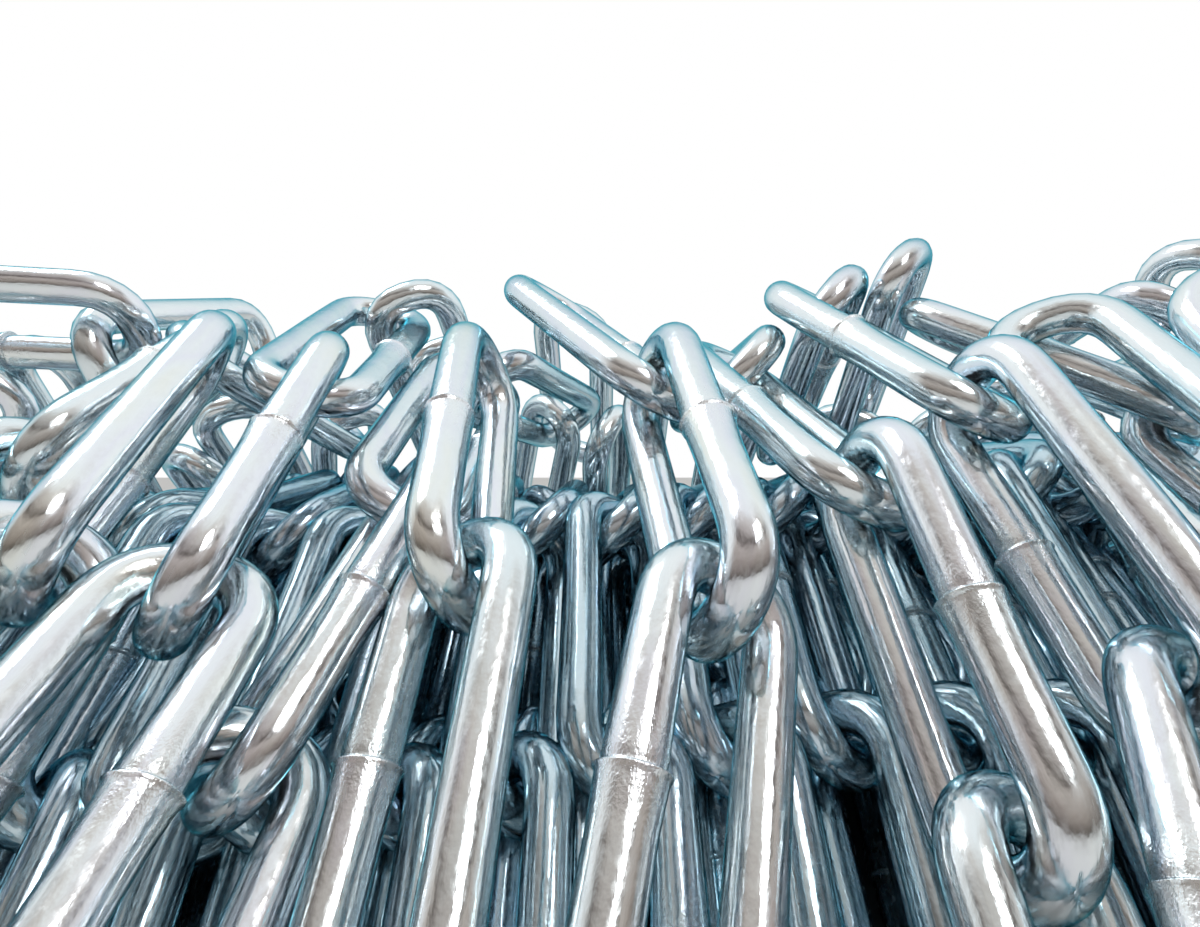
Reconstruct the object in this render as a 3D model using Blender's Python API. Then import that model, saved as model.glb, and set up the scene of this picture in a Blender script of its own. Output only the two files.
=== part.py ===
"""Heap of long-link steel chain, its runs laid link by link over a mound.

Metres, +Z up. The heap stands on z = 0 with the middle of its foot at the
origin. It is longest along X, and its front slope falls towards -Y.
Each link is a welded loop of round wire, hooked in the link before it. The
runs placed on the front slope, FRONT_RUNS, are made of single links. Every
other run, at the ends, on the back and beside them on the ridge, is one solid
of several links. A plain core stands for the chain that lies hidden inside.
"""

from math import atan2, cos, hypot, pi, radians, sin

import bmesh
import bpy
import numpy as np
from mathutils.kdtree import KDTree

# Chain
WIRE = 0.006
PITCH = 0.042
LINK_WIDTH = 0.021

# Clearances: between hooked links, least to all other links as they are laid, where a
# run rests once it is moved against what lies nearest, and least after that move. A run
# goes the largest of these shares of its way that leaves it clear of all else
HOOK_GAP = 0.0007
LAY_GAP = 0.0006
SEAT_GAP = 0.00010
LEAST_GAP = 0.00008
SEAT_REACH = 0.005
SEAT_SHARES = (1, 0.8, 0.6, 0.4, 0.2)
CORE_SAMPLE = 0.001

# Pin that joins two links of a fused run where they touch
PIN_RADIUS = 0.0012
PIN_SIDES = 6

# Core: middle along Y, half sizes, height, and how round its top is from front to back
CORE_Y = 0.016
CORE_HALF_X = 0.158
CORE_HALF_Y = 0.098
CORE_TOP = 0.090
CORE_POWER = 1.4

# Ceiling of the wire: how far it reaches beyond the core at the ends, at the foot in
# front and behind, and at the top, how round it is from front to back, and its least
# height at the foot
END_LAYER = 0.042
FOOT_LAYER = 0.038
TOP_LAYER = 0.028
LAYER_POWER = 1.6
HEAP_EDGE = 0.044

# Two lumps on the mound: place along X, spread, height
LEFT_LUMP = (-0.100, 0.045, 0.008)
RIGHT_LUMP = (0.108, 0.042, 0.030)

# Places in the lists below are in millimetres on a core of this half length, half depth
# and height; on another core they move with its sizes
MM = 0.001
LISTED_CORE = (0.158, 0.098, 0.090)

# Placed runs on the front slope. Hook points from the top down, with heights from EYE;
# the link that gets the roll; the roll in degrees; how far the other links are twisted
# from square to it; and where along X the run reaches the foot in front and at the back
EYE = 0.083
FRONT_RUNS = {
    "inner_left": ([(-45, 21, 30), (-44, -16, 13), (-45.5, -47, -14), (-48, -81, -38)], 1, -55, -18, -48, -44),
    "narrow_left": ([(-27, 13, 24), (-29, -23, 4), (-39.5, -51.5, -23.5), (-42, -85, -48)], 1, -48, -15, -42, -27),
    "mid_left": ([(-17.5, -12, 14), (-15, -44, -13), (-17, -72, -44)], 0, 70, -18, -18, -12),
    "middle": ([(-11, 13.5, 31), (8.3, -18, 12.6), (12.5, -50, -14), (4, -75, -46)], 1, -75, 15, 5, 4),
    "inner_right": ([(22, 0, 17), (33.5, -36, -1), (37, -62, -34), (37, -90, -62)], 1, -85, 18, 37, 22),
    "right": ([(38, 12, 27), (51, -22.5, 8), (56.5, -50, -24), (46, -78, -54)], 1, -88, 18, 46, 40),
    "left": ([(-56, -16, 13.5), (-55.5, -48, -13), (-58, -78, -42)], 0, 100, 15, -58, -61),
    "outer_left": ([(-69, 11, 19), (-73, -24, -2), (-76, -55, -25)], 0, 125, 10, -76, -78),
}

# Placed runs at the heap's ends, by the same values but the last two; each is one solid
END_RUNS = {
    "crest_left": ([(-126, -6, 25), (-86, -1, 24), (-82, 40, 28)], 0, 40, 0),
    "crest_right": ([(107, 47, 21), (105, 6, 27), (141, -12, 13)], 0, 40, 0),
    "far_right": ([(64, 9, 26), (86, -20, 7), (97, -50, -19)], 0, 10, 0),
}

# Runs laid from a first link: its place in millimetres, its heading and rise in
# degrees, then the route's points below and above it
SEEDED_RUNS = {
    "ridge_right_1": ((74, -34, -86, -40), [(74, -60), (72, -116)], [(76, -4), (74, 20)]),
    "ridge_right_2": ((91, -40, -86, -50), [(91, -60), (88, -116)], [(92, -4), (90, 20)]),
    "ridge_right_3": ((118, -34, -80, -50), [(120, -60), (118, -106)], [(120, -4), (118, 20)]),
    "end_right_1": ((135, -10, -50, -50), [(142, -30), (150, -70)], [(126, 20), (120, 40)]),
    "end_right_2": ((137, 16, 0, -55), [(160, 16), (180, 16)], [(120, 16), (105, 16)]),
    "end_right_3": ((134, 40, 50, -50), [(146, 60), (156, 90)], [(122, 14), (110, 0)]),
    "ridge_left_1": ((-93, -32, -94, -40), [(-93, -60), (-92, -116)], [(-92, -4), (-90, 20)]),
    "ridge_left_2": ((-110, -30, -94, -40), [(-110, -60), (-111, -106)], [(-109, -4), (-106, 20)]),
    "end_left_1": ((-132, -16, -140, -40), [(-146, -34), (-160, -60)], [(-120, 6), (-110, 20)]),
    "end_left_2": ((-138, 14, 180, -50), [(-160, 14), (-176, 14)], [(-120, 14), (-105, 14)]),
}

# Runs down the back beside those that come over the top
BACK_X = (-148, -132, -116, -100, -82, -36, -10, 6, 60, 78, 96, 114)
BACK_SEED_Y = 58
BACK_END_X = 125
BACK_END_SHIFT = 14
BACK_RISE = -40

# Laying a link
STUB_LENGTH = 0.004
ROUTE_POINTS = 40
HALVINGS = 5
TURN_COST = 0.0006
TWIST_COST = 0.0002
SHIFT_COST = 0.3
MAX_LINKS = 6
FRONT_FOOT_LINKS = 2
ROUTE_END_Y = 130
OVER_THE_TOP_Y = 20
TURNS = (0, -10, 10, -22, 22)
WIDE_TURNS = (0, -12, 12, -24, 24, -38, 38)
TWISTS = (0, -15, 15)
STEEPEST = -85
HIGHEST = 55
ELEVATION_STEP = 5
MAX_BEND = 80
SEED_SHIFTS = (0, -4, 4)
SEED_ROLLS = (20, 65, 110, 155)
SEED_LIFT = 0.050
SEED_STEP = 0.001
FOOT_Y = CORE_HALF_Y + 0.004

# Mesh fineness
FINE_SIDES = 8
FINE_BEND = 5
PLAIN_SIDES = 6
PLAIN_BEND = 5
CORE_RINGS = 18
CORE_SPOKES = 56
PATH_PER_PART = 11
SEAT_PER_PART = 27

# Steel with a bright blue-white zinc coat, and a darker tone for the core
ZINC = ((0.62, 0.68, 0.72, 1.0), 0.22, 1.0)
CORE_STEEL = ((0.20, 0.25, 0.28, 1.0), 0.45, 1.0)

BEND_R = (LINK_WIDTH - WIRE) / 2
HALF_STRAIGHT = PITCH / 2 + WIRE / 2 - BEND_R
NEAR = 1.8 * PITCH


def unit(vector):
    return vector / np.linalg.norm(vector)


def lump(x, shape):
    place, spread, height = shape
    return height * np.exp(-((x - place) / spread) ** 2)


def mound(x, y, top, half_x, half_y, power):
    """Height of the lumpy mound; below zero outside its foot."""
    height = top + lump(x, LEFT_LUMP) + lump(x, RIGHT_LUMP)
    return height * (1 - (x / half_x) ** 4 - (np.abs(y - CORE_Y) / half_y) ** power)


def core_height(x, y):
    return mound(x, y, CORE_TOP, CORE_HALF_X, CORE_HALF_Y, CORE_POWER)


def height_over_core(points):
    """Distance of points from the core's face, positive above it."""
    x, y, z = points[..., 0], points[..., 1], points[..., 2]
    step = 0.0005
    height = core_height(x, y)
    slope_x = (core_height(x + step, y) - height) / step
    slope_y = (core_height(x, y + step) - height) / step
    return (z - height) / np.sqrt(1 + slope_x ** 2 + slope_y ** 2)


def room_below_top(points):
    """How far points lie below the heap's highest surface."""
    top = mound(points[..., 0], points[..., 1], CORE_TOP + TOP_LAYER, CORE_HALF_X + END_LAYER,
                CORE_HALF_Y + FOOT_LAYER, LAYER_POWER)
    return np.maximum(top, HEAP_EDGE) - points[..., 2]


def flat_path(per_part):
    """Closed centreline of a link, along X and across Y."""
    angle = np.linspace(-pi / 2, pi / 2, per_part)
    bend = np.stack([HALF_STRAIGHT + BEND_R * np.cos(angle), BEND_R * np.sin(angle)], 1)
    run = np.linspace(HALF_STRAIGHT, -HALF_STRAIGHT, per_part + 2)[1:-1]
    side = np.stack([run, np.full_like(run, BEND_R)], 1)
    return np.concatenate([bend, side, -bend, -side])


PATH = flat_path(PATH_PER_PART)
STUB = PATH[PATH[:, 0] < STUB_LENGTH - HALF_STRAIGHT]
SEAT_PATH = flat_path(SEAT_PER_PART)


def in_space(flat, centre, along, across):
    """Flat link points in space, for one link or for many at once."""
    return centre[..., None, :] + flat[:, 0, None] * along[..., None, :] + flat[:, 1, None] * across[..., None, :]


def link_points(centre, along, normal):
    return in_space(PATH, centre, along, np.cross(normal, along))


def with_next(centre, along, normal):
    """A link's points and the near end of a link hooked straight on."""
    ahead = centre + (2 * HALF_STRAIGHT + 2 * BEND_R - WIRE) * along
    return np.concatenate([link_points(centre, along, normal), in_space(STUB, ahead, along, normal)], -2)


def normal_at(along, roll):
    """Normal of a link's plane: straight up from the run at roll 0."""
    side = unit(np.cross((0.0, 0.0, 1.0), along))
    return np.cross(along, side) * cos(roll) + side * sin(roll)


def hooked(end, last_along, last_normal, along, twist):
    """Centre and normal of links that point along, hooked in the last link's bend."""
    normal = np.cross(along, last_normal)
    normal /= np.linalg.norm(normal, axis=-1, keepdims=True)
    normal = normal * cos(twist) + np.cross(normal, along) * sin(twist)
    pull = np.cross(np.broadcast_to(last_normal, normal.shape), normal)
    pull /= np.linalg.norm(pull, axis=-1, keepdims=True)
    pull = pull * np.sign((pull * (along + last_along)).sum(-1, keepdims=True))
    start = end + (2 * BEND_R - WIRE - HOOK_GAP) * pull
    bend = np.minimum((pull * along).sum(-1), (pull * last_along).sum(-1))
    return start + HALF_STRAIGHT * along, normal, bend > cos(radians(MAX_BEND))


def direction(heading, elevation):
    elevation = np.atleast_1d(elevation)
    flat = np.cos(elevation)
    return np.stack([flat * cos(heading), flat * sin(heading), np.sin(elevation)], -1)


class Pile:
    """The links laid so far, and how clear a new one is of them."""

    def __init__(self):
        self.links = []
        self.points = []
        self.runs = {}

    def add(self, run, centre, along, normal, first=False):
        self.points.append(link_points(centre, along, normal))
        self.links.append((centre, along, normal))
        order = self.runs.setdefault(run, [])
        order.insert(0 if first else len(order), len(self.links) - 1)
        return len(self.links) - 1

    def near(self, place, skip=()):
        close = [points for number, (link, points) in enumerate(zip(self.links, self.points))
                 if number not in skip and np.linalg.norm(link[0] - place) < NEAR]
        return np.concatenate(close) if close else np.zeros((0, 3))

    def clearance(self, points, near):
        """Least gap of each link's wire to the core, the ground and near links."""
        core = height_over_core(points).min(-1) - WIRE / 2
        ground = points[..., 2].min(-1) - WIRE / 2 + LAY_GAP
        least = np.minimum(core, ground)
        if len(near):
            a = points.astype(np.float32)
            b = near.astype(np.float32)
            square = (a ** 2).sum(-1)[..., None] + (b ** 2).sum(-1) - 2 * a @ b.T
            least = np.minimum(least, np.sqrt(np.maximum(square.min((-1, -2)), 0)) - WIRE)
        return least

    def fits(self, centre, along, normal, near, final=False):
        """Whether links are clear and below the top, with room for a next one."""
        points = link_points(centre, along, normal) if final else with_next(centre, along, normal)
        room = room_below_top(points[..., :len(PATH), :]).min(-1)
        return (self.clearance(points, near) > LAY_GAP) & (room > 0)


def lay_next(pile, last, turns, highest, tuck, heading, final=False):
    """Best next link: the lowest that is clear, near the wanted heading."""
    number, centre, last_along, last_normal = last
    end = centre + HALF_STRAIGHT * last_along
    near = pile.near(end + HALF_STRAIGHT * direction(heading, 0)[0], {number})
    rises = np.radians(np.arange(highest, STEEPEST - 1, -ELEVATION_STEP))
    best = None
    for turn in turns:
        for twist in TWISTS:
            def trial(rise):
                along = direction(heading + radians(turn), rise)
                middle, normal, bends = hooked(end, last_along, last_normal, along, radians(twist))
                return middle, along, normal, bends & pile.fits(middle, along, normal, near, final)
            good = trial(rises)[3]
            if not good.any():
                continue
            if tuck:
                pick = len(good) - 1 - int(np.argmax(good[::-1]))
            else:
                pick = int(np.argmax(good))
                while pick + 1 < len(good) and good[pick + 1]:
                    pick += 1
            clear, blocked = rises[pick], rises[min(pick + 1, len(rises) - 1)]
            for _ in range(HALVINGS):
                halfway = (clear + blocked) / 2
                if trial(halfway)[3][0]:
                    clear = halfway
                else:
                    blocked = halfway
            middle, along, normal, _ = (value[0] for value in trial(clear))
            cost = 2 * middle[2] + HALF_STRAIGHT * along[2] + TURN_COST * abs(turn) + TWIST_COST * abs(twist)
            if best is None or cost < best[0]:
                best = (cost, middle, along, normal)
    return best


def heading_to(route, place):
    """Heading from a place to the route a link ahead, and whether the route ends."""
    distance = np.linalg.norm(route - place[:2], axis=1)
    ahead = int(np.argmin(distance))
    while ahead + 1 < len(route) and distance[ahead] < PITCH - WIRE:
        ahead += 1
    step = route[ahead] - place[:2]
    if hypot(*step) < MM:
        step = route[-1] - route[-2]
    return atan2(step[1], step[0]), ahead + 1 >= len(route)


def on_core(places):
    """Places of the lists, in metres and fitted to the core's sizes."""
    places = np.atleast_2d(np.array(places, dtype=float)) * MM
    sizes = np.array((CORE_HALF_X, CORE_HALF_Y, CORE_TOP)) / LISTED_CORE
    return places * sizes[:places.shape[1]]


def fine_route(corners):
    pieces = [np.linspace(a, b, ROUTE_POINTS) for a, b in zip(corners[:-1], corners[1:])]
    return np.concatenate(pieces)


def foot_reached(place):
    narrowing = max(0.05, 1 - (place[0] / (CORE_HALF_X + LINK_WIDTH / 2)) ** 4)
    return abs(place[1] - CORE_Y) > FOOT_Y * narrowing ** (1 / CORE_POWER)


def extend(pile, run, number, sign, corners, count, tuck, to_foot=True):
    """Lay links one after another from one end of a laid link.

    On the slope the last link drops to the ground once the foot is reached.
    """
    centre, along, normal = pile.links[number]
    last = (number, centre, sign * along, normal)
    end = centre + HALF_STRAIGHT * sign * along
    route = fine_route([end[:2]] + list(on_core(corners)))
    for _ in range(count):
        heading, at_end = heading_to(route, end)
        best = lay_next(pile, last, TURNS, HIGHEST, tuck, heading)
        if best is None:
            best = lay_next(pile, last, WIDE_TURNS, -STEEPEST, tuck, heading)
        if best is None:
            break
        _, centre, along, normal = best
        last = (pile.add(run, centre, along, normal, first=sign < 0), centre, along, normal)
        end = centre + HALF_STRAIGHT * along
        if at_end or (to_foot and foot_reached(end)):
            break
    if to_foot and foot_reached(end) and end[2] > LINK_WIDTH:
        best = lay_next(pile, last, WIDE_TURNS, HIGHEST, tuck, heading_to(route, end)[0], final=True)
        if best is not None:
            pile.add(run, *best[1:], first=sign < 0)


def along_hooks(hooks, which, roll, twist):
    """Links from hook point to hook point, hooked on both ways from one of them."""
    along = unit(hooks[which + 1] - hooks[which])
    middle = (hooks[which] + hooks[which + 1]) / 2
    links = {which: (middle, along, normal_at(along, roll))}
    for step in (1, -1):
        centre, last_along, last_normal = middle, step * along, links[which][2]
        number = which + step
        while 0 <= number < len(hooks) - 1:
            target = hooks[number + 1] if step > 0 else hooks[number]
            end = centre + HALF_STRAIGHT * last_along
            new = unit(target - end)
            for _ in range(3):
                place, normal, _ = hooked(end, last_along, last_normal, new[None], step * twist)
                new = unit(target - place[0] + HALF_STRAIGHT * new)
            place, normal, _ = hooked(end, last_along, last_normal, new[None], step * twist)
            centre, last_along, last_normal = place[0], new, normal[0]
            links[number] = (centre, last_along, last_normal)
            number += step
    return [links[number] for number in sorted(links)]


def nudges():
    """Small shifts in millimetres and rolls in degrees, least first; depth counts least."""
    trials = [(x, y, z, roll) for x in range(-5, 6) for y in range(-6, 7, 3) for z in range(-8, 7, 2)
              for roll in range(-24, 25, 12)]
    return sorted(trials, key=lambda t: 1.5 * t[0] ** 2 + 0.3 * t[1] ** 2 + t[2] ** 2 + (t[3] / 8) ** 2)


def place_run(pile, run, hooks, which, roll, twist):
    """Add a run at its hook points, nudged as little as makes it clear."""
    hooks = on_core(np.array(hooks) + (0, 0, EYE / MM))
    best = None
    for x, y, z, more in nudges():
        links = along_hooks(hooks + np.array((x, y, z)) * MM, which, radians(roll + more), radians(twist))
        least = min(pile.clearance(link_points(*link)[None], pile.near(link[0]))[0] for link in links)
        if best is None or least > best[0]:
            best = (least, links)
        if least > LAY_GAP:
            break
    for link in best[1]:
        pile.add(run, *link)


def seed_run(pile, run, place, heading, elevation):
    """Lay a run's first link at the lowest clear height over the core."""
    x, y = on_core(place)[0]
    near = pile.near(np.array((x, y, max(0.0, core_height(x, y)) + LINK_WIDTH / 2)))
    lifts = np.arange(SEED_LIFT, 0, -SEED_STEP)
    best = None
    for shift in SEED_SHIFTS:
        for roll in SEED_ROLLS:
            base = max(0.0, core_height(x + shift * MM, y))
            centre = np.stack([np.full_like(lifts, x + shift * MM), np.full_like(lifts, y), base + lifts], -1)
            along = np.broadcast_to(direction(heading, elevation)[0], centre.shape)
            normal = np.broadcast_to(normal_at(along[0], radians(roll)), centre.shape)
            clear = pile.clearance(link_points(centre, along, normal), near) > LAY_GAP
            good = pile.fits(centre, along, normal, near)
            if not clear.any():
                continue
            pick = len(good) - 1 - int(np.argmax((good if good.any() else clear)[::-1]))
            cost = lifts[pick] + SHIFT_COST * MM * abs(shift) + SEED_LIFT * (not good.any())
            if best is None or cost < best[0]:
                best = (cost, centre[pick], along[pick], normal[pick])
    if best is None:
        return None
    return pile.add(run, *best[1:])


def tree_of(points):
    tree = KDTree(len(points))
    for number, point in enumerate(points):
        tree.insert(point, number)
    tree.balance()
    return tree


def nearest(tree, points, solid):
    """Least gap from wires round the points to a tree's points, and the way there."""
    found = min(((tree.find(point), point) for point in points), key=lambda pair: pair[0][2])
    (place, _, distance), point = found
    return distance - solid, unit(np.array(place) - point)


def core_points():
    x, y = np.meshgrid(np.arange(-CORE_HALF_X, CORE_HALF_X, CORE_SAMPLE),
                       np.arange(CORE_Y - CORE_HALF_Y, CORE_Y + CORE_HALF_Y, CORE_SAMPLE))
    z = core_height(x, y)
    return np.stack([x[z > 0], y[z > 0], z[z > 0]], -1)


def seat_runs(pile):
    """Move every chain as a whole against the nearest thing that is seated."""
    core_tree = tree_of(core_points())
    chains = {}
    for run, order in pile.runs.items():
        chains.setdefault(run.removesuffix("_over"), []).extend(order)
    fine = {number: in_space(SEAT_PATH, link[0], link[1], np.cross(link[2], link[1]))
            for number, link in enumerate(pile.links)}
    waiting = list(chains)
    seated = []
    while waiting:
        trees = [(core_tree, WIRE / 2)]
        if seated:
            trees.append((tree_of(np.concatenate([fine[n] for name in seated for n in chains[name]])), WIRE))
        gaps = {}
        for name in waiting:
            points = np.concatenate([fine[n] for n in chains[name]])
            gaps[name] = min((nearest(tree, points, solid) for tree, solid in trees), key=lambda pair: pair[0])
        name = min(waiting, key=lambda name: gaps[name][0])
        waiting.remove(name)
        gap, way = gaps[name]
        rest = [fine[n] for other in chains if other != name for n in chains[other]]
        trees = [(core_tree, WIRE / 2), (tree_of(np.concatenate(rest)), WIRE)]
        points = np.concatenate([fine[n] for n in chains[name]])
        for share in SEAT_SHARES if SEAT_GAP < gap < SEAT_REACH else ():
            shift = share * (gap - SEAT_GAP) * way
            shift[2] = max(shift[2], WIRE / 2 - points[:, 2].min())
            if min(nearest(tree, points + shift, solid)[0] for tree, solid in trees) < LEAST_GAP:
                continue
            for n in chains[name]:
                centre, along, normal = pile.links[n]
                pile.links[n] = (centre + shift, along, normal)
                pile.points[n] = pile.points[n] + shift
                fine[n] = fine[n] + shift
            break
        seated.append(name)


def back_runs():
    """Seeds and routes of the runs down the back."""
    runs = {}
    for number, x in enumerate(BACK_X, 1):
        y = BACK_SEED_Y - BACK_END_SHIFT * (abs(x) > BACK_END_X)
        runs["back_%d" % number] = ((x, y, 90, BACK_RISE), [(x, ROUTE_END_Y)], [(x, 0), (x + 5, -20)])
    return runs


def lay_heap():
    """Lay all runs; returns the pile."""
    pile = Pile()
    for run, (hooks, which, roll, twist, *_) in list(FRONT_RUNS.items()) + list(END_RUNS.items()):
        place_run(pile, run, hooks, which, roll, twist)
    for run, (hooks, which, _, _, front_x, back_x) in FRONT_RUNS.items():
        top, bottom = pile.runs[run][0], pile.runs[run][-1]
        up = 1 if which > 0 else -1
        over = [((hooks[0][0] + back_x) / 2, OVER_THE_TOP_Y), (back_x, ROUTE_END_Y)]
        extend(pile, run, bottom, 1, [(front_x, -ROUTE_END_Y)], FRONT_FOOT_LINKS, False)
        extend(pile, run + "_over", top, up, over, MAX_LINKS, False)
    for run, (seed, down, up) in list(back_runs().items()) + list(SEEDED_RUNS.items()):
        x, y, heading, rise = seed
        first = seed_run(pile, run, (x, y), radians(heading), radians(rise))
        if first is None:
            continue
        extend(pile, run, first, 1, down, MAX_LINKS, True)
        extend(pile, run, first, -1, up, MAX_LINKS, True)
    seat_runs(pile)
    return pile


def material(name, colour, roughness, metallic):
    made = bpy.data.materials.new(name)
    made.use_nodes = True
    shader = made.node_tree.nodes["Principled BSDF"]
    shader.inputs["Base Color"].default_value = colour
    shader.inputs["Roughness"].default_value = roughness
    shader.inputs["Metallic"].default_value = metallic
    return made


def link_mesh(bm, link, sides, per_bend):
    """One closed loop of round wire; a corner of its section faces the eye."""
    centre, along, normal = link
    across = np.cross(normal, along)
    rings = []
    for end in (1, -1):
        for step in range(per_bend + 1):
            angle = -pi / 2 + pi * step / per_bend
            out = end * (cos(angle) * along + sin(angle) * across)
            middle = centre + end * HALF_STRAIGHT * along + BEND_R * out
            ring = []
            for corner in range(sides):
                turn = 2 * pi * corner / sides
                ring.append(bm.verts.new(middle + WIRE / 2 * (-cos(turn) * out + sin(turn) * normal)))
            rings.append(ring)
    for ring, following in zip(rings, rings[1:] + rings[:1]):
        for corner in range(sides):
            after = (corner + 1) % sides
            bm.faces.new((ring[corner], following[corner], following[after], ring[after]))


def new_object(name, bm, look):
    mesh = bpy.data.meshes.new(name)
    bmesh.ops.recalc_face_normals(bm, faces=bm.faces)
    bm.to_mesh(mesh)
    bm.free()
    mesh.shade_smooth()
    mesh.materials.append(look)
    made = bpy.data.objects.new(name, mesh)
    bpy.context.scene.collection.objects.link(made)
    return made


def single_links(pile, run, look):
    for number, index in enumerate(pile.runs[run], 1):
        bm = bmesh.new()
        link_mesh(bm, pile.links[index], FINE_SIDES, FINE_BEND)
        new_object("link_%s_%d" % (run, number), bm, look)


def touching(link, other):
    """Wire centres of two hooked links on both sides of where they touch."""
    pairs = []
    for sign in (1, -1):
        for side in (1, -1):
            here = link[0] + sign * HALF_STRAIGHT * link[1]
            there = other[0] + side * HALF_STRAIGHT * other[1]
            pairs.append((np.linalg.norm(there - here), here, there))
    _, here, there = min(pairs, key=lambda pair: pair[0])
    pull = unit(there - here)
    return here + BEND_R * pull, there - BEND_R * pull


def pin_mesh(bm, start, end):
    """Small prism from one wire's middle to the next."""
    along = unit(end - start)
    side = unit(np.cross(along, (0.3, 0.5, 0.8)))
    across = np.cross(along, side)
    rings = []
    for place in (start, end):
        turns = [2 * pi * corner / PIN_SIDES for corner in range(PIN_SIDES)]
        rings.append([bm.verts.new(place + PIN_RADIUS * (cos(t) * side + sin(t) * across)) for t in turns])
    for corner in range(PIN_SIDES):
        after = (corner + 1) % PIN_SIDES
        bm.faces.new((rings[0][corner], rings[1][corner], rings[1][after], rings[0][after]))
    bm.faces.new(rings[0])
    bm.faces.new(rings[1])


def fused_run(pile, run, look):
    """All links of a run as one solid, pinned where each touches the next."""
    links = [pile.links[index] for index in pile.runs[run]]
    bm = bmesh.new()
    for link in links:
        link_mesh(bm, link, PLAIN_SIDES, PLAIN_BEND)
    body = new_object("run_" + run, bm, look)
    if len(links) == 1:
        return
    bm = bmesh.new()
    for link, other in zip(links, links[1:]):
        pin_mesh(bm, *touching(link, other))
    pins = new_object("pins_" + run, bm, look)
    join = body.modifiers.new("pins", "BOOLEAN")
    join.operation = "UNION"
    join.solver = "EXACT"
    join.object = pins
    pins.hide_render = True
    pins.display_type = "WIRE"


def core(look):
    """The mound of hidden chain, closed by a flat bottom on the ground."""
    bm = bmesh.new()
    top = bm.verts.new((0, CORE_Y, core_height(0, CORE_Y)))
    rings = []
    for ring in range(1, CORE_RINGS + 1):
        out = ring / CORE_RINGS
        verts = []
        for spoke in range(CORE_SPOKES):
            turn = 2 * pi * spoke / CORE_SPOKES
            x = out * CORE_HALF_X * abs(cos(turn)) ** 0.5 * (1 if cos(turn) > 0 else -1)
            y = CORE_Y + out * CORE_HALF_Y * abs(sin(turn)) ** (2 / CORE_POWER) * (1 if turn < pi else -1)
            verts.append(bm.verts.new((x, y, max(0.0, core_height(x, y)))))
        rings.append(verts)
    for spoke in range(CORE_SPOKES):
        after = (spoke + 1) % CORE_SPOKES
        bm.faces.new((top, rings[0][spoke], rings[0][after]))
        for inner, outer in zip(rings, rings[1:]):
            bm.faces.new((inner[spoke], outer[spoke], outer[after], inner[after]))
    bm.faces.new(rings[-1])
    made = new_object("heap_core", bm, look)
    made.data.set_sharp_from_angle(angle=radians(40))


def build():
    for leftover in list(bpy.data.objects):
        bpy.data.objects.remove(leftover)
    zinc = material("zinc_plated_steel", *ZINC)
    pile = lay_heap()
    for run in pile.runs:
        if run in FRONT_RUNS:
            single_links(pile, run, zinc)
        else:
            fused_run(pile, run, zinc)
    core(material("chain_inside", *CORE_STEEL))


build()
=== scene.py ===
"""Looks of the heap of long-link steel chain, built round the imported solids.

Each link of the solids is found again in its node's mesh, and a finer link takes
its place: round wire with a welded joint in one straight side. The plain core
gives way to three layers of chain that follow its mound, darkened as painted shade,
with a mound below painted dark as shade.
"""

from math import cos, pi, radians, sin

import bpy
import numpy as np
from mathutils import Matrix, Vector


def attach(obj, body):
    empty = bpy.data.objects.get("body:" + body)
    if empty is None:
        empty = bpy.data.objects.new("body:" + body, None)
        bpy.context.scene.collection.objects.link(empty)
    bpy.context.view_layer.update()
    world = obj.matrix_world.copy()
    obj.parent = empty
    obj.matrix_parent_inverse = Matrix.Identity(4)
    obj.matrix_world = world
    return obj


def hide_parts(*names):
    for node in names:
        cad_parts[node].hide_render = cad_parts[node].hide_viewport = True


MM = 0.001

# Chain, as in the solids
WIRE = 0.006
PITCH = 0.042
LINK_WIDTH = 0.021
BEND_R = (LINK_WIDTH - WIRE) / 2
HALF_STRAIGHT = PITCH / 2 + WIRE / 2 - BEND_R

# The core's mound, as in the solids, with the powers of its fall along X and Y. A lump
# has its place along X, its spread and its height
CORE_Y = 0.016
CORE_HALF_X = 0.158
CORE_HALF_Y = 0.098
CORE_TOP = 0.090
CORE_POWER_X = 4
CORE_POWER_Y = 1.4
LUMPS = ((-0.100, 0.045, 0.008), (0.108, 0.042, 0.030))

# How a link is found in a mesh: pins have shorter edges than any link, and a link's
# wire has this many sides, alone or in a run of several, with these steps in a bend.
# Then the rounds of laying a plain link on its points, and the largest miss allowed
PIN_EDGE = 0.0016
SINGLE_SIDES = 8
RUN_SIDES = 6
BEND_STEPS = 5
LEAST_POINTS = 50
SETTLE_ROUNDS = 6
MOST_ERROR = 0.1 * MM

# Which way a found link is read: its long axis points away from the first direction,
# and the normal of its plane towards the second
LONG_AXIS_FROM = (0.1, 0.3, 1.0)
NORMAL_TO = (0.1, -1.0, 0.6)

# Mesh fineness: sides of the wire, and steps in a bend
FINE = (32, 18)
MIDDLING = (22, 12)
PLAIN = (14, 8)

# Stations along the welded side, in millimetres from the joint, and along the plain
# side, as shares of its half length; and how square a bend is, with 2 for a half circle
BEFORE_WELD = (-12, -8, -5, -3, -1.8, -1.0, -0.5, -0.25, -0.12, -0.03)
AFTER_WELD = (0.03, 0.12, 0.25, 0.45, 0.8, 1.3, 2.0, 3.0, 4.4, 6.5, 9.5)
PLAIN_SIDE = (0.6, 0.2, -0.2, -0.6)
CORNER = 2.3

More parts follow.
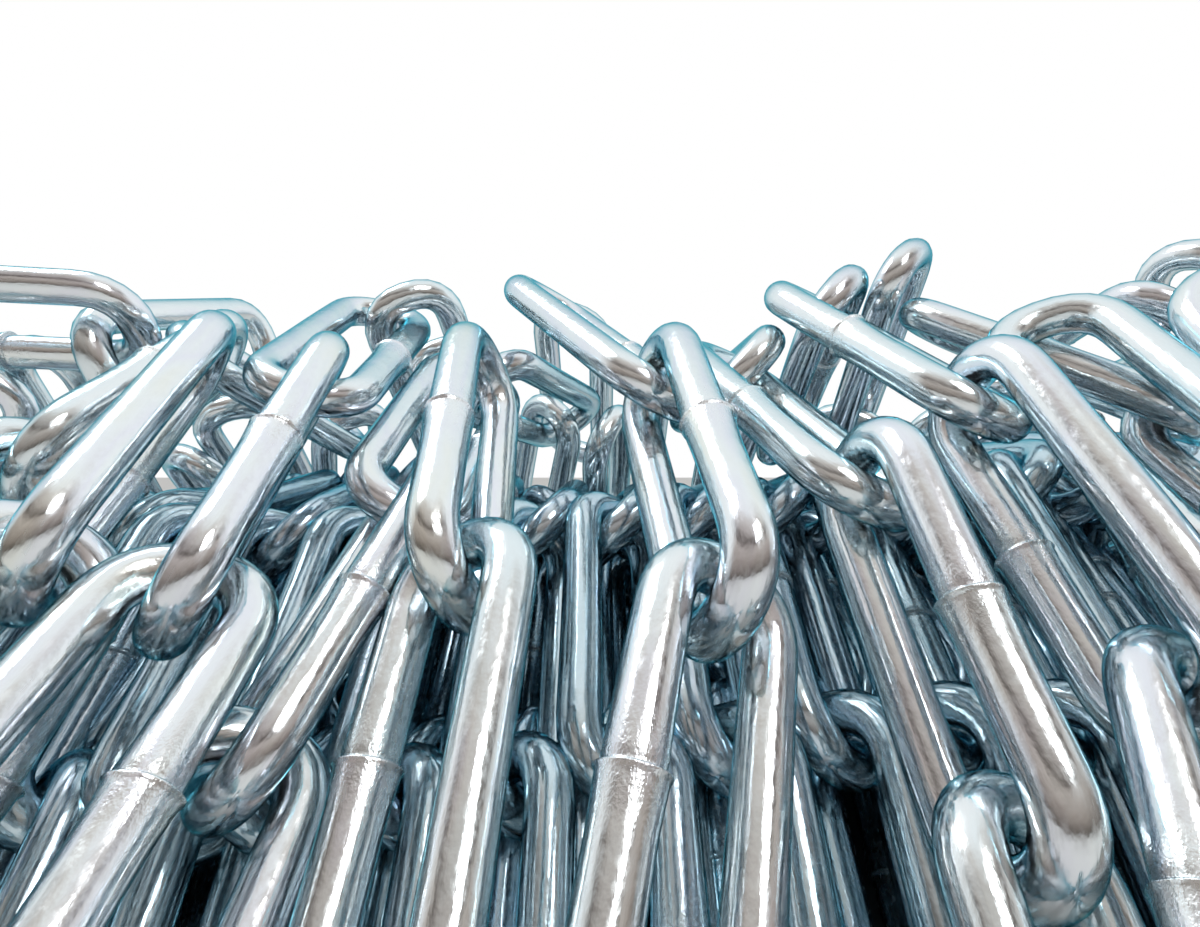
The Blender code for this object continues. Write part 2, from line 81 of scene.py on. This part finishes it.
# Joint, in millimetres. Its fat end: extra radius, length and power of its taper. Its
# thin end's neck and the torn lip: height, place and spread. The waves round the lip:
# number and share. How much fatter the shoulder is on one side of the wire
SHOULDER = (0.34, 3.2, 1.6)
NECK = (-0.10, -0.25, 0.4)
LIP = (0.20, 0.20, 0.22)
TORN = ((2, 0.5), (5, 0.3), (9, 0.2))
SHOULDER_TILT = 0.12

# Uneven wire, in millimetres: how far a straight side bows in, least and most; a
# one-sided and a two-sided ripple, with the metres of wire for a radian of each and the
# most radians that one starts at; and the flattening inside a bend
BOW = (-0.12, 0.20)
RIPPLES = ((0.020, 0.0041), (0.015, 0.0075))
RIPPLE_START = 6
BEND_SQUEEZE = 0.10

# How far the fat end is out of line: its spread in millimetres, and for how many metres
SKEW = 0.07
SKEW_LENGTH = 0.003

# In metres: the length beside a joint that is rougher, how far from the joint a station
# counts that isn't on the welded side, and the largest shift of the noise
NEAR_WELD = 0.004
ELSEWHERE = 1.0
NOISE_SHIFT = 5

# Links whose joint the photograph shows: in the straight side next to the eye
WELD_TO_EYE = {"link_inner_left_1", "link_inner_left_2", "link_inner_left_3", "link_narrow_left_1",
               "link_narrow_left_3", "link_mid_left_1", "link_middle_2", "link_inner_right_1",
               "link_inner_right_2", "link_right_1", "run_far_right"}

# Layers of inner chain, with the depth of the links' middles below the core's face. In
# degrees: the roll of the upper layer's first links, and each link's play in its roll
INNER_LAYERS = (("inner_chain_upper", 0.0088), ("inner_chain_lower", 0.0258), ("inner_chain_deep", 0.0428))
INNER_ROLL = 45
ROLL_PLAY = 3

# Least height of an inner link's middle, which stands on edge at about 45 degrees
INNER_LIFT = 0.0088

# Inner chains side by side: least distance of the first and the last from the core's
# ends, spacing, shift from layer to layer, the slow wave in which their first hooks lie
# farther up the slope, play sideways in millimetres, the steps in which the next hook
# is looked for, and how much nearer than a pitch it may be
LANE_FIRST = 0.010
LANE_LAST = 0.008
LANE_SPACING = 0.0137
LANE_SHIFT = 0.0046
LANE_SWING = 0.003
LANE_WAVE = 0.031
LANE_PLAY = 0.3
LANE_STEP = 0.2 * MM
HOOK_GAP = 0.3 * MM

# The mound painted dark as shade under the layers of inner chain: how far its top lies
# below the core's, the mesh's rings and spokes, and from how many degrees an edge stays sharp
HEART_DEPTH = 0.052
HEART_RINGS = 14
HEART_SPOKES = 64
HEART_EDGE = 50

# Seeds of the random marks, so that no two links are alike
LINKS_PER_NODE = 100
LAYER_SEED = 40
INNER_SEED = 9000
LINKS_PER_LAYER = 1000
LINKS_PER_LANE = 20

# Zinc on the outer links, the upper layer of inner chain and the layers below: name,
# colour, colour at a glancing angle, and roughness
OUTER_ZINC = ("bright_zinc", (0.85, 0.90, 0.92), (0.06, 0.40, 0.50, 1), 0.20)
# Painted shade: the upper inner layer's zinc is the outer zinc darkened, in colour and glancing colour
SHADED_ZINC = ("shaded_zinc", (0.66, 0.78, 0.84), (0.06, 0.38, 0.48, 1), 0.20)
# Painted deep shade: the lower inner layers' zinc is darker still, in colour and glancing colour
DEEP_SHADE_ZINC = ("deep_shade_zinc", (0.48, 0.63, 0.71), (0.06, 0.32, 0.42, 1), 0.22)

# Noise on the wire: its detail, and its changes per metre along and across the wire.
# The drift is of tone, with its share beside a link's own tint, and the rest is relief
# with the heights below. The grain is only beside a joint
DRIFT = (2, 55, 240)
DRIFT_SHARE = 0.75
MARKS = {"lines": (3, 35, 1900), "dents": (1, 230, 330), "pits": (2, 900, 1500), "grain": (2, 2600, 3600)}
HEIGHTS = {"lines": 0.20, "dents": 1.1, "pits": 0.34, "grain": 0.7}
RELIEF_STRENGTH = 0.55
RELIEF_DEPTH = 0.00016

# Tints as shares of the zinc's colour, with their places in the drift of tone
TINTS = ((0.30, (0.94, 0.985, 1.0)), (0.47, (1.0, 1.0, 1.0)), (0.56, (0.97, 0.95, 1.0)),
         (0.66, (1.0, 1.0, 1.0)), (0.76, (1.0, 0.985, 0.93)))

# Where pits wear the gloss off, and the shares of wear, lines and all else in the
# roughness, with what is added at a joint
WEAR = ((0.40, (0.0, 0.0, 0.0)), (0.62, (1.0, 1.0, 1.0)))
WEAR_ROUGH = 0.6
LINES_ROUGH = 0.9
LEAST_ROUGH = 0.15
WELD_ROUGH = 0.07

# Steel painted dark as deep shade: shader values, waves a metre, relief's depth, and tones by wave
DARK_STEEL = {"Metallic": 0.6, "Roughness": 0.5}
DARK_WAVES = 90
DARK_DETAIL = 2
DARK_RELIEF = 0.004
# Painted shade: near-black blue-green tones standing in for the heap's shaded inside
PAINTED_SHADE_TONES = ((0.35, (0.020, 0.042, 0.054)), (0.70, (0.15, 0.22, 0.26)))

# Studio: floor; tones of the sky behind the heap and in front of it, by its rise from
# straight down to straight up, and where along Y one turns to the other; white as the
# camera sees it; and soft boxes with their place, size and power, and where they point
FLOOR_HALF = 4
FLOOR_PAINT = {"Base Color": (0.70, 0.70, 0.69, 1), "Roughness": 0.7}
SKY_BEHIND = ((0.0, (0.20, 0.20, 0.20)), (0.50, (0.34, 0.42, 0.46)), (0.57, (0.74, 0.79, 0.81)),
              (0.66, (0.94, 0.95, 0.95)))
SKY_FRONT = ((0.0, (0.02, 0.018, 0.017)), (0.50, (0.10, 0.085, 0.075)), (0.62, (0.32, 0.27, 0.24)),
             (0.74, (0.50, 0.44, 0.40)), (0.80, (0.12, 0.10, 0.09)), (0.87, (0.44, 0.39, 0.36)),
             (0.94, (0.62, 0.57, 0.53)), (0.99, (0.92, 0.93, 0.93)))
SKY_TURN = (0.10, -0.30)
WHITE = (1.0, 1.0, 1.0, 1.0)
SOFT_BOXES = ((0.35, -0.55, 0.75, 0.34, 1.9), (-0.5, 0.1, 0.9, 0.42, 1.9))
LIT_HEIGHT = 0.06

# Camera, level and close, as the photograph was taken
EYE = (0, -0.124, 0.083)
LENS = 21.0
SENSOR = 36
NEAREST_SEEN = 0.003


def unit(vector):
    return vector / np.linalg.norm(vector)


def unit_rows(vectors):
    return vectors / np.linalg.norm(vectors, axis=1)[:, None]


def core_height(x, y):
    height = CORE_TOP + sum(high * np.exp(-((x - place) / spread) ** 2) for place, spread, high in LUMPS)
    fall = (x / CORE_HALF_X) ** CORE_POWER_X
    return height * (1 - fall - (np.abs(y - CORE_Y) / CORE_HALF_Y) ** CORE_POWER_Y)


def plain_link(sides):
    """Points of a link of the solids, along X, across Y, with its plane's normal up Z."""
    points = []
    for end in (1, -1):
        for step in range(BEND_STEPS + 1):
            angle = -pi / 2 + pi * step / BEND_STEPS
            out = np.array((end * cos(angle), end * sin(angle), 0))
            for corner in range(sides):
                turn = 2 * pi * corner / sides
                points.append((end * HALF_STRAIGHT, 0, 0) + (BEND_R - WIRE / 2 * cos(turn)) * out
                              + (0, 0, WIRE / 2 * sin(turn)))
    return np.array(points)


def settle(points, pattern):
    """Place and axes that lay the pattern on a link's points."""
    middle = (points.max(0) + points.min(0)) / 2
    _, axes = np.linalg.eigh((points - points.mean(0)).T @ (points - points.mean(0)))
    turn = np.stack([axes[:, 2], np.cross(axes[:, 0], axes[:, 2]), axes[:, 0]], 1)
    for _ in range(SETTLE_ROUNDS):
        laid = pattern @ turn.T + middle
        match = pattern[((points[:, None] - laid[None]) ** 2).sum(-1).argmin(1)]
        left, _, right = np.linalg.svd((match - match.mean(0)).T @ (points - points.mean(0)))
        flip = np.diag((1, 1, np.sign(np.linalg.det(right.T @ left.T))))
        turn = right.T @ flip @ left.T
        middle = points.mean(0) - turn @ match.mean(0)
    return middle, turn, np.abs(match @ turn.T + middle - points).max()


def split_links(mesh):
    """Points of each link of a mesh, with the pins between links left out."""
    points = np.array([vertex.co for vertex in mesh.vertices])
    points, number = np.unique(np.round(points, 6), axis=0, return_inverse=True)
    number = number.ravel()
    edges = number[np.array([edge.vertices for edge in mesh.edges])]
    edges = edges[edges[:, 0] != edges[:, 1]]
    short = np.linalg.norm(points[edges[:, 0]] - points[edges[:, 1]], axis=1) < PIN_EDGE
    keep = np.ones(len(points), bool)
    keep[edges[short].ravel()] = False
    edges = edges[keep[edges].all(1)]
    label = np.arange(len(points))
    while True:
        least = np.minimum(label[edges[:, 0]], label[edges[:, 1]])
        before = label.copy()
        np.minimum.at(label, edges[:, 0], least)
        np.minimum.at(label, edges[:, 1], least)
        if (label == before).all():
            return [points[keep & (label == which)] for which in np.unique(label[keep])]


def find_links(node):
    """Centre, long axis and plane's normal of each link in a CAD node."""
    pattern = plain_link(SINGLE_SIDES if node.name.startswith("link_") else RUN_SIDES)
    links = []
    for own in split_links(node.data):
        if len(own) < LEAST_POINTS:
            raise ValueError("%s has a link of %d points" % (node.name, len(own)))
        centre, turn, error = settle(own, pattern)
        if error > MOST_ERROR:
            raise ValueError("%s: a link is %.2f mm off" % (node.name, error / MM))
        along, normal = turn[:, 0], turn[:, 2]
        if along @ LONG_AXIS_FROM > 0:
            along = -along
        if normal @ NORMAL_TO < 0:
            normal = -normal
        links.append((centre, along, normal))
    return sorted(links, key=lambda link: tuple(np.round(link[0], 4)))


def link_path(steps):
    """Flat centreline of a link from its joint round to its joint again."""
    angle = np.linspace(pi / 2, -pi / 2, steps + 1)
    shape = 2 / CORNER
    bend = np.stack([HALF_STRAIGHT + BEND_R * np.abs(np.cos(angle)) ** shape,
                     BEND_R * np.sign(np.sin(angle)) * np.abs(np.sin(angle)) ** shape], 1)
    near = np.array([(s * MM, BEND_R) for s in AFTER_WELD])
    last = np.array([(s * MM, BEND_R) for s in BEFORE_WELD])
    back = np.array([(share * HALF_STRAIGHT, -BEND_R) for share in PLAIN_SIDE])
    return np.concatenate([near, bend, back, -bend, last])


def bowed_path(steps, rng):
    """A link's flat centreline with its sides bowed, the way out of it, and its length."""
    path = link_path(steps)
    bow = rng.uniform(*BOW, 2) * MM
    inside = np.clip(1 - (path[:, 0] / HALF_STRAIGHT) ** 2, 0, 1)
    path[:, 1] -= np.sign(path[:, 1]) * inside * np.where(path[:, 1] > 0, bow[0], bow[1])
    ahead = np.roll(path, -1, 0) - path
    behind = path - np.roll(path, 1, 0)
    tangent = unit_rows(unit_rows(ahead) + unit_rows(behind))
    out = np.stack([-tangent[:, 1], tangent[:, 0]], 1)
    length = np.concatenate([[0], np.cumsum(np.linalg.norm(ahead, axis=1))[:-1]])
    return path, out, length


def hump(s, height, place, spread):
    return height * np.exp(-((s - place) / spread) ** 2)


def weld_swell(s, turn, rough):
    """Extra radius beside the joint: a thin end set in a fat shoulder with a torn lip."""
    s = s / MM
    height, taper, power = SHOULDER
    shoulder = np.where(s > 0, height * np.exp(-(np.abs(s) / taper) ** power), hump(s, *NECK))
    torn = 1 + sum(share * np.sin(waves * turn + start) for (waves, share), start in zip(TORN, rough))
    return (shoulder * (1 + SHOULDER_TILT * np.sin(turn + rough[2])) + hump(s, *LIP) * torn) * MM


def wire_radius(path, place, length, turn, rng):
    """Radius of the wire at each station, all the way round it."""
    swell = weld_swell(place[:, None], turn[None], rng.uniform(0, 2 * pi, 3))
    bend = np.clip((np.abs(path[:, 0]) - HALF_STRAIGHT) / BEND_R, 0, 1)[:, None]
    (high, radian), (low, long_radian) = RIPPLES
    along = length[:, None]
    ripple = (high * np.sin(along / radian + rng.uniform(0, RIPPLE_START))
              * np.sin(turn + rng.uniform(0, RIPPLE_START)))
    ripple = ripple + low * np.sin(along / long_radian + rng.uniform(0, RIPPLE_START)) * np.sin(2 * turn)
    squeeze = -BEND_SQUEEZE * bend * np.cos(turn)[None].clip(0, 1) ** 2
    return WIRE / 2 + swell + (ripple + squeeze) * MM


def add_link(store, link, sides, steps, seed, to_eye=False):
    """Put one fine link into a store of vertices, faces and wire coordinates."""
    rng = np.random.default_rng(seed)
    centre, along, normal = link
    across = np.cross(normal, along)
    side = rng.choice((-1, 1))
    if to_eye:
        side = 1 if across @ (np.array(EYE) - centre) > 0 else -1
    across, normal = side * across, side * normal
    path, out, length = bowed_path(steps, rng)
    turn = 2 * pi * np.arange(sides) / sides
    on_side = (path[:, 1] > 0) & (np.abs(path[:, 0]) < HALF_STRAIGHT)
    place = np.where(on_side, path[:, 0], ELSEWHERE)
    radius = wire_radius(path, place, length, turn, rng)
    fade = np.exp(-np.maximum(place, 0)[:, None] / SKEW_LENGTH) * (place[:, None] > 0)
    skew = rng.normal(0, SKEW, 2) * MM * fade
    middle = centre + path[:, :1] * along + path[:, 1:] * across
    middle = middle + skew[:, :1] * across + skew[:, 1:] * normal
    out = out[:, :1] * along + out[:, 1:] * across
    ring = middle[:, None] + radius[..., None] * (-np.cos(turn)[None, :, None] * out[:, None]
                                                  + np.sin(turn)[None, :, None] * normal)
    stations = len(path)
    base = sum(len(part) for part in store["points"])
    here = np.arange(stations)[:, None] * sides + np.arange(sides)
    after = np.roll(here, -1, 1)
    faces = np.stack([here, after, np.roll(after, -1, 0), np.roll(here, -1, 0)], -1).reshape(-1, 4)
    wire = np.stack(np.broadcast_arrays(length[:, None] + rng.uniform(0, NOISE_SHIFT),
                                        radius * np.cos(turn) + rng.uniform(0, NOISE_SHIFT),
                                        radius * np.sin(turn)), -1)
    near_weld = np.exp(-(place / NEAR_WELD) ** 2) * (place < ELSEWHERE)
    store["points"].append(ring.reshape(-1, 3))
    store["faces"].append(faces + base)
    store["wire"].append(wire.reshape(-1, 3))
    store["near_weld"].append(np.repeat(near_weld, sides))
    store["tint"].append(np.full(stations * sides, rng.uniform(0, 1)))


def new_store():
    return {"points": [], "faces": [], "wire": [], "near_weld": [], "tint": []}


def new_piece(name, points, faces, look, node):
    """A mesh piece that rides on the heap and takes the place of a CAD node."""
    mesh = bpy.data.meshes.new(name)
    mesh.from_pydata(points, [], faces)
    mesh.update()
    mesh.shade_smooth()
    mesh.materials.append(look)
    piece = bpy.data.objects.new(name, mesh)
    bpy.context.scene.collection.objects.link(piece)
    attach(piece, "root")
    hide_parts(node)
    return piece


def chain_piece(store, name, look, node):
    """One joined piece from a store, with its wire coordinates as attributes."""
    points = np.concatenate(store["points"]).tolist()
    piece = new_piece(name, points, np.concatenate(store["faces"]).tolist(), look, node)
    wire = piece.data.attributes.new("wire", "FLOAT_VECTOR", "POINT")
    wire.data.foreach_set("vector", np.concatenate(store["wire"]).astype(np.float32).ravel())
    for key in ("near_weld", "tint"):
        value = piece.data.attributes.new(key, "FLOAT", "POINT")
        value.data.foreach_set("value", np.concatenate(store[key]).astype(np.float32))
    return piece


def feed(tree, socket, value):
    """Wire a socket to another one, or set its value."""
    if isinstance(value, bpy.types.NodeSocket):
        tree.links.new(value, socket)
    else:
        socket.default_value = value


def new_node(tree, kind, **values):
    """A node with its settings and its sockets' values or wires, by name."""
    made = tree.nodes.new(kind)
    for key, value in values.items():
        if hasattr(made, key):
            setattr(made, key, value)
        else:
            feed(tree, made.inputs[key], value)
    return made


def calc(tree, operation, first, second):
    made = new_node(tree, "ShaderNodeMath", operation=operation)
    for socket, value in zip(made.inputs, (first, second)):
        feed(tree, socket, value)
    return made.outputs["Value"]


def ramp(tree, source, stops):
    """Colour by a value, from stops of a place and a tone."""
    made = new_node(tree, "ShaderNodeValToRGB", Fac=source)
    while len(made.color_ramp.elements) < len(stops):
        made.color_ramp.elements.new(0.5)
    for element, (place, tone) in zip(made.color_ramp.elements, stops):
        element.position = place
        element.color = (*tone, 1)
    return made.outputs["Color"]


def new_look(name, **values):
    """A material and its node tree and shader, with the shader's values by name."""
    look = bpy.data.materials.new(name)
    look.use_nodes = True
    shader = look.node_tree.nodes["Principled BSDF"]
    for key, value in values.items():
        shader.inputs[key].default_value = value
    return look, look.node_tree, shader


def wire_noise(tree, wire, detail, along, across):
    """Noise in wire coordinates, with its own size along and across the wire."""
    scaled = new_node(tree, "ShaderNodeMapping", Vector=wire, Scale=(along, across, across))
    made = new_node(tree, "ShaderNodeTexNoise", Scale=1.0, Detail=detail, Vector=scaled.outputs["Vector"])
    return made.outputs["Fac"]


def zinc_material(name, colour, edge, roughness):
    """Bright zinc plating on drawn wire: fine draw lines, soft dents, torn welds."""
    look, tree, shader = new_look(name, **{"Metallic": 1.0, "Specular Tint": edge})
    wire = new_node(tree, "ShaderNodeAttribute", attribute_name="wire").outputs["Vector"]
    weld = new_node(tree, "ShaderNodeAttribute", attribute_name="near_weld").outputs["Fac"]
    tint = new_node(tree, "ShaderNodeAttribute", attribute_name="tint").outputs["Fac"]

    drift = calc(tree, "MULTIPLY", wire_noise(tree, wire, *DRIFT), DRIFT_SHARE)
    shade = calc(tree, "ADD", drift, calc(tree, "MULTIPLY", tint, 1 - DRIFT_SHARE))
    tones = [(place, tuple(np.multiply(colour, shares))) for place, shares in TINTS]
    feed(tree, shader.inputs["Base Color"], ramp(tree, shade, tones))

    marks = {mark: wire_noise(tree, wire, *noise) for mark, noise in MARKS.items()}
    wear = calc(tree, "MULTIPLY", ramp(tree, marks["pits"], WEAR), roughness * WEAR_ROUGH)
    rough = calc(tree, "ADD", wear, calc(tree, "MULTIPLY", marks["lines"], roughness * LINES_ROUGH))
    rough = calc(tree, "ADD", rough, calc(tree, "MULTIPLY", weld, WELD_ROUGH))
    feed(tree, shader.inputs["Roughness"], calc(tree, "ADD", rough, roughness * LEAST_ROUGH))

    marks["grain"] = calc(tree, "MULTIPLY", marks["grain"], weld)
    height = 0.0
    for mark, share in HEIGHTS.items():
        height = calc(tree, "ADD", height, calc(tree, "MULTIPLY", marks[mark], share))
    relief = new_node(tree, "ShaderNodeBump", Strength=RELIEF_STRENGTH, Distance=RELIEF_DEPTH, Height=height)
    feed(tree, shader.inputs["Normal"], relief.outputs["Normal"])
    return look


def painted_shade_inside():
    """Steel painted dark blue-green as deep shade, with soft uneven sheen."""
    look, tree, shader = new_look("painted_shade_inside", **DARK_STEEL)
    place = new_node(tree, "ShaderNodeTexCoord").outputs["Object"]
    noise = new_node(tree, "ShaderNodeTexNoise", Scale=DARK_WAVES, Detail=DARK_DETAIL, Vector=place)
    waves = noise.outputs["Fac"]
    feed(tree, shader.inputs["Base Color"], ramp(tree, waves, PAINTED_SHADE_TONES))
    relief = new_node(tree, "ShaderNodeBump", Distance=DARK_RELIEF, Height=waves)
    feed(tree, shader.inputs["Normal"], relief.outputs["Normal"])
    return look


def dress_links(look):
    """A fine link, or several in one piece, for each CAD node of links."""
    for number, (name, cad) in enumerate(sorted(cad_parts.items())):
        if name == "heap_core":
            continue
        store = new_store()
        fineness = FINE if name.startswith("link_") else MIDDLING
        for count, link in enumerate(find_links(cad)):
            seed = LINKS_PER_NODE * number + count
            add_link(store, link, *fineness, seed=seed, to_eye=name in WELD_TO_EYE)
        piece = chain_piece(store, name.replace("link_", "steel_link_").replace("run_", "chain_"), look, name)


def inner_hooks(x, depth, rng):
    """Where the links of a chain over the mound meet, some way below its face."""
    def height(y):
        return float(core_height(x, y)) - depth
    y = CORE_Y - CORE_HALF_Y
    while height(y) < INNER_LIFT and y < CORE_Y:
        y += MM
    y += LANE_SWING * (1 + sin(x / LANE_WAVE))
    hooks = []
    while height(y) > INNER_LIFT:
        hooks.append(np.array((x + rng.uniform(-LANE_PLAY, LANE_PLAY) * MM, y, height(y))))
        step = 0.0
        while step < PITCH and np.hypot(step, height(y + step) - hooks[-1][2]) < PITCH - HOOK_GAP:
            step += LANE_STEP
        y += step
    return hooks


def inner_lane(x, depth, roll, rng):
    """Links of one inner chain, each turned square to the last."""
    hooks = inner_hooks(x, depth, rng)
    links = []
    for low, high in zip(hooks, hooks[1:]):
        along = unit(high - low)
        side = unit(np.cross((0, 0, 1), along))
        up = np.cross(along, side)
        angle = radians(roll + rng.uniform(-ROLL_PLAY, ROLL_PLAY))
        links.append(((low + high) / 2, along, up * cos(angle) + side * sin(angle)))
        roll += 90
    return links


def dress_core(upper, lower):
    """Three layers of chain below the core's face, each shifted and turned from the last, the upper one in
    zinc darkened as painted shade and the two below darker still.
    """
    for layer, (name, depth) in enumerate(INNER_LAYERS):
        # Painted shade: the upper layer takes the darkened zinc, the layers below the darkest one
        fineness, look = (MIDDLING, upper) if layer == 0 else (PLAIN, lower)
        rng = np.random.default_rng(LAYER_SEED + layer)
        stores = {"left": new_store(), "right": new_store()}
        first = -CORE_HALF_X + LANE_FIRST + LANE_SHIFT * layer
        for number, x in enumerate(np.arange(first, CORE_HALF_X - LANE_LAST, LANE_SPACING)):
            store = stores["left" if x < 0 else "right"]
            for count, link in enumerate(inner_lane(x, depth, INNER_ROLL + 90 * layer, rng)):
                seed = INNER_SEED + LINKS_PER_LAYER * layer + LINKS_PER_LANE * number + count
                add_link(store, link, *fineness, seed=seed)
        for half, store in stores.items():
            chain_piece(store, name + "_" + half, look, "heap_core")


def heart(look):
    """The heap's inside: a smaller mound painted dark as shade, under the layers of inner chain."""
    share = 1 - HEART_DEPTH / CORE_TOP
    half_x = CORE_HALF_X * share ** (1 / CORE_POWER_X)
    half_y = CORE_HALF_Y * share ** (1 / CORE_POWER_Y)
    points = [(0, CORE_Y, share * core_height(0, CORE_Y))]
    for out in np.arange(1, HEART_RINGS + 1) / HEART_RINGS:
        for turn in 2 * pi * np.arange(HEART_SPOKES) / HEART_SPOKES:
            x = out * abs(cos(turn)) ** (2 / CORE_POWER_X) * (1 if cos(turn) > 0 else -1)
            y = out * abs(sin(turn)) ** (2 / CORE_POWER_Y) * (1 if turn < pi else -1)
            height = share * core_height(x * CORE_HALF_X, CORE_Y + y * CORE_HALF_Y)
            points.append((x * half_x, CORE_Y + y * half_y, max(0.0, height)))
    ring = list(range(1, HEART_SPOKES + 1))
    pairs = list(zip(ring, ring[1:] + ring[:1]))
    faces = [(0, a, b) for a, b in pairs]
    for near in range(0, (HEART_RINGS - 1) * HEART_SPOKES, HEART_SPOKES):
        far = near + HEART_SPOKES
        faces += [(near + a, far + a, far + b, near + b) for a, b in pairs]
    faces.append([(HEART_RINGS - 1) * HEART_SPOKES + a for a in ring[::-1]])
    piece = new_piece("inner_heart", points, faces, look, "heap_core")
    piece.data.set_sharp_from_angle(angle=radians(HEART_EDGE))


def lay_floor():
    """A plain pale floor."""
    mesh = bpy.data.meshes.new("floor")
    corners = [(x * FLOOR_HALF, y * FLOOR_HALF, 0) for x, y in ((-1, -1), (1, -1), (1, 1), (-1, 1))]
    mesh.from_pydata(corners, [], [(0, 1, 2, 3)])
    floor = bpy.data.objects.new("floor", mesh)
    bpy.context.scene.collection.objects.link(floor)
    paint, _, _ = new_look("floor_paint", **FLOOR_PAINT)
    mesh.materials.append(paint)


def mapped(tree, source, low, high):
    made = new_node(tree, "ShaderNodeMapRange", **{"From Min": low, "From Max": high, "Value": source})
    return made.outputs["Result"]


def mix(tree, factor, first, second):
    made = new_node(tree, "ShaderNodeMix", data_type="RGBA", Factor=factor, A=first, B=second)
    return made.outputs["Result"]


def light():
    """Soft white light all round, darker and warmer low down in front, and two boxes."""
    world = bpy.data.worlds.new("studio")
    bpy.context.scene.world = world
    world.use_nodes = True
    tree = world.node_tree
    place = new_node(tree, "ShaderNodeTexCoord").outputs["Generated"]
    split = new_node(tree, "ShaderNodeSeparateXYZ", Vector=place)
    rise = mapped(tree, split.outputs["Z"], -1, 1)
    front = mapped(tree, split.outputs["Y"], *SKY_TURN)
    sky = mix(tree, front, ramp(tree, rise, SKY_BEHIND), ramp(tree, rise, SKY_FRONT))
    seen = new_node(tree, "ShaderNodeLightPath").outputs["Is Camera Ray"]
    feed(tree, tree.nodes["Background"].inputs["Color"], mix(tree, seen, sky, WHITE))

    for number, (x, y, z, size, energy) in enumerate(SOFT_BOXES):
        lamp = bpy.data.lights.new("soft_box", "AREA")
        lamp.size = size
        lamp.energy = energy
        box = bpy.data.objects.new("soft_box_%d" % number, lamp)
        box.location = (x, y, z)
        box.rotation_euler = Vector((x, y, z - LIT_HEIGHT)).to_track_quat("Z", "Y").to_euler()
        bpy.context.scene.collection.objects.link(box)


def camera():
    data = bpy.data.cameras.new("camera")
    data.sensor_width = SENSOR
    data.lens = LENS
    data.clip_start = NEAREST_SEEN
    made = bpy.data.objects.new("camera", data)
    made.location = EYE
    made.rotation_euler = (pi / 2, 0, 0)
    bpy.context.scene.collection.objects.link(made)
    bpy.context.scene.camera = made


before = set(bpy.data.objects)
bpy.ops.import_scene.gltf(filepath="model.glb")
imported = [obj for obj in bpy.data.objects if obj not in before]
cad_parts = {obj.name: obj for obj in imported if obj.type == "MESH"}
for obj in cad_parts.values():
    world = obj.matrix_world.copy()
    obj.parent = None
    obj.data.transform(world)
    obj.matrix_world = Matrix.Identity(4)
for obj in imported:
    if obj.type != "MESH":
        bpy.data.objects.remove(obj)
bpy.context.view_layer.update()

dress_links(zinc_material(*OUTER_ZINC))
dress_core(zinc_material(*SHADED_ZINC), zinc_material(*DEEP_SHADE_ZINC))
heart(painted_shade_inside())
lay_floor()
light()
camera()
bpy.context.scene.view_settings.view_transform = "Standard"
